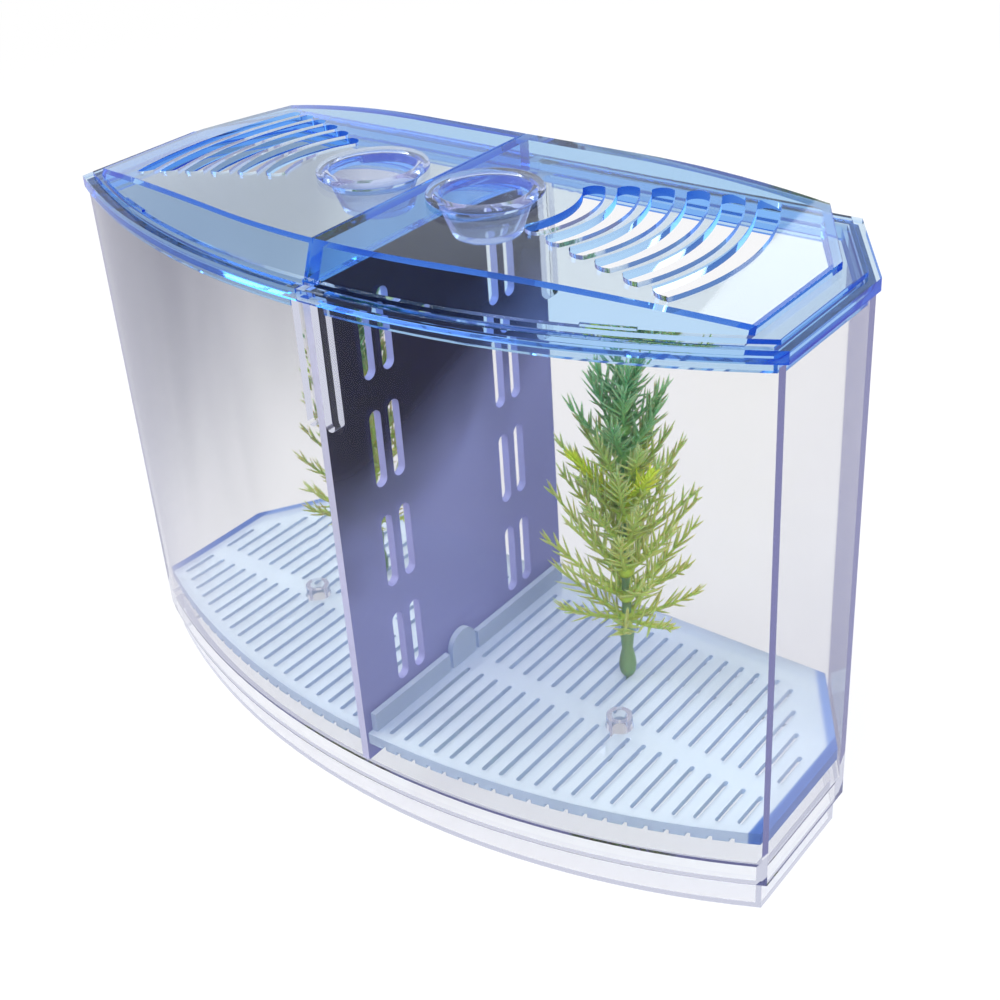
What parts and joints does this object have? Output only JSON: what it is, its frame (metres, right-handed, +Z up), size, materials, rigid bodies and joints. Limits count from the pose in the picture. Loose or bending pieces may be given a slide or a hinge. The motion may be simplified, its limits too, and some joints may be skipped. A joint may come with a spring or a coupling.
{
  "type": "twin fish breeding box",
  "caption": "Clear twin fish breeding box with a bowed front, a slotted divider, vented blue lids with feeding cups, slotted floor grids and plastic plants.",
  "frame": {"origin": "centre of the box's outline on the table, under the foot ring", "axes": "+X along the box, +Y towards the flat back wall, +Z up; the bowed front faces -Y"},
  "size_m": [0.19, 0.084, 0.1449],
  "materials": {
    "clear_plastic": "polished, clear",
    "smoke_plastic": "polished, smoke tint",
    "blue_lid_plastic": "polished, clear blue",
    "lavender_cup_plastic": "polished, clear lavender blue",
    "ice_grid_plastic": "gloss, slightly milky",
    "deep_leaf_plastic": "satin",
    "leaf_plastic": "satin",
    "yellow_leaf_plastic": "satin",
    "shoot_plastic": "satin"
  },
  "bodies": {
    "tank": {"tank": "clear_plastic"},
    "divider": {"divider": "smoke_plastic"},
    "right_lid": {"right_lid": "blue_lid_plastic"},
    "right_feeding_cup": {"right_feeding_cup": "lavender_cup_plastic"},
    "right_floor_grid": {"right_floor_grid": "ice_grid_plastic"},
    "right_plant": {"right_plant_stem": "deep_leaf_plastic", "right_plant_lower_fronds": "yellow_leaf_plastic", "right_plant_middle_fronds": "leaf_plastic", "right_plant_upper_fronds": "deep_leaf_plastic", "right_plant_tuft": "shoot_plastic"},
    "left_lid": {"left_lid": "blue_lid_plastic"},
    "left_feeding_cup": {"left_feeding_cup": "lavender_cup_plastic"},
    "left_floor_grid": {"left_floor_grid": "ice_grid_plastic"},
    "left_plant": {"left_plant_stem": "deep_leaf_plastic", "left_plant_lower_fronds": "yellow_leaf_plastic", "left_plant_middle_fronds": "leaf_plastic", "left_plant_upper_fronds": "deep_leaf_plastic", "left_plant_tuft": "shoot_plastic"}
  },
  "joints": [
    {"name": "divider_lift", "type": "slide", "parent": "tank", "child": "divider", "axis": [0, 0, 1], "range_m": [0, 0.118]},
    {"name": "right_lid_lift", "type": "slide", "parent": "divider", "child": "right_lid", "axis": [0, 0, 1], "range_m": [0, 0.04]},
    {"name": "right_cup_lift", "type": "slide", "parent": "right_lid", "child": "right_feeding_cup", "axis": [0, 0, 1], "range_m": [0, 0.015]},
    {"name": "right_grid_lift", "type": "slide", "parent": "tank", "child": "right_floor_grid", "axis": [0, 0, 1], "range_m": [0, 0.02]},
    {"name": "right_plant_lift", "type": "slide", "parent": "right_floor_grid", "child": "right_plant", "axis": [0, 0, 1], "range_m": [0, 0.006]},
    {"name": "left_lid_lift", "type": "slide", "parent": "divider", "child": "left_lid", "axis": [0, 0, 1], "range_m": [0, 0.04]},
    {"name": "left_cup_lift", "type": "slide", "parent": "left_lid", "child": "left_feeding_cup", "axis": [0, 0, 1], "range_m": [0, 0.015]},
    {"name": "left_grid_lift", "type": "slide", "parent": "tank", "child": "left_floor_grid", "axis": [0, 0, 1], "range_m": [0, 0.02]},
    {"name": "left_plant_lift", "type": "slide", "parent": "left_floor_grid", "child": "left_plant", "axis": [0, 0, 1], "range_m": [0, 0.006]}
  ]
}
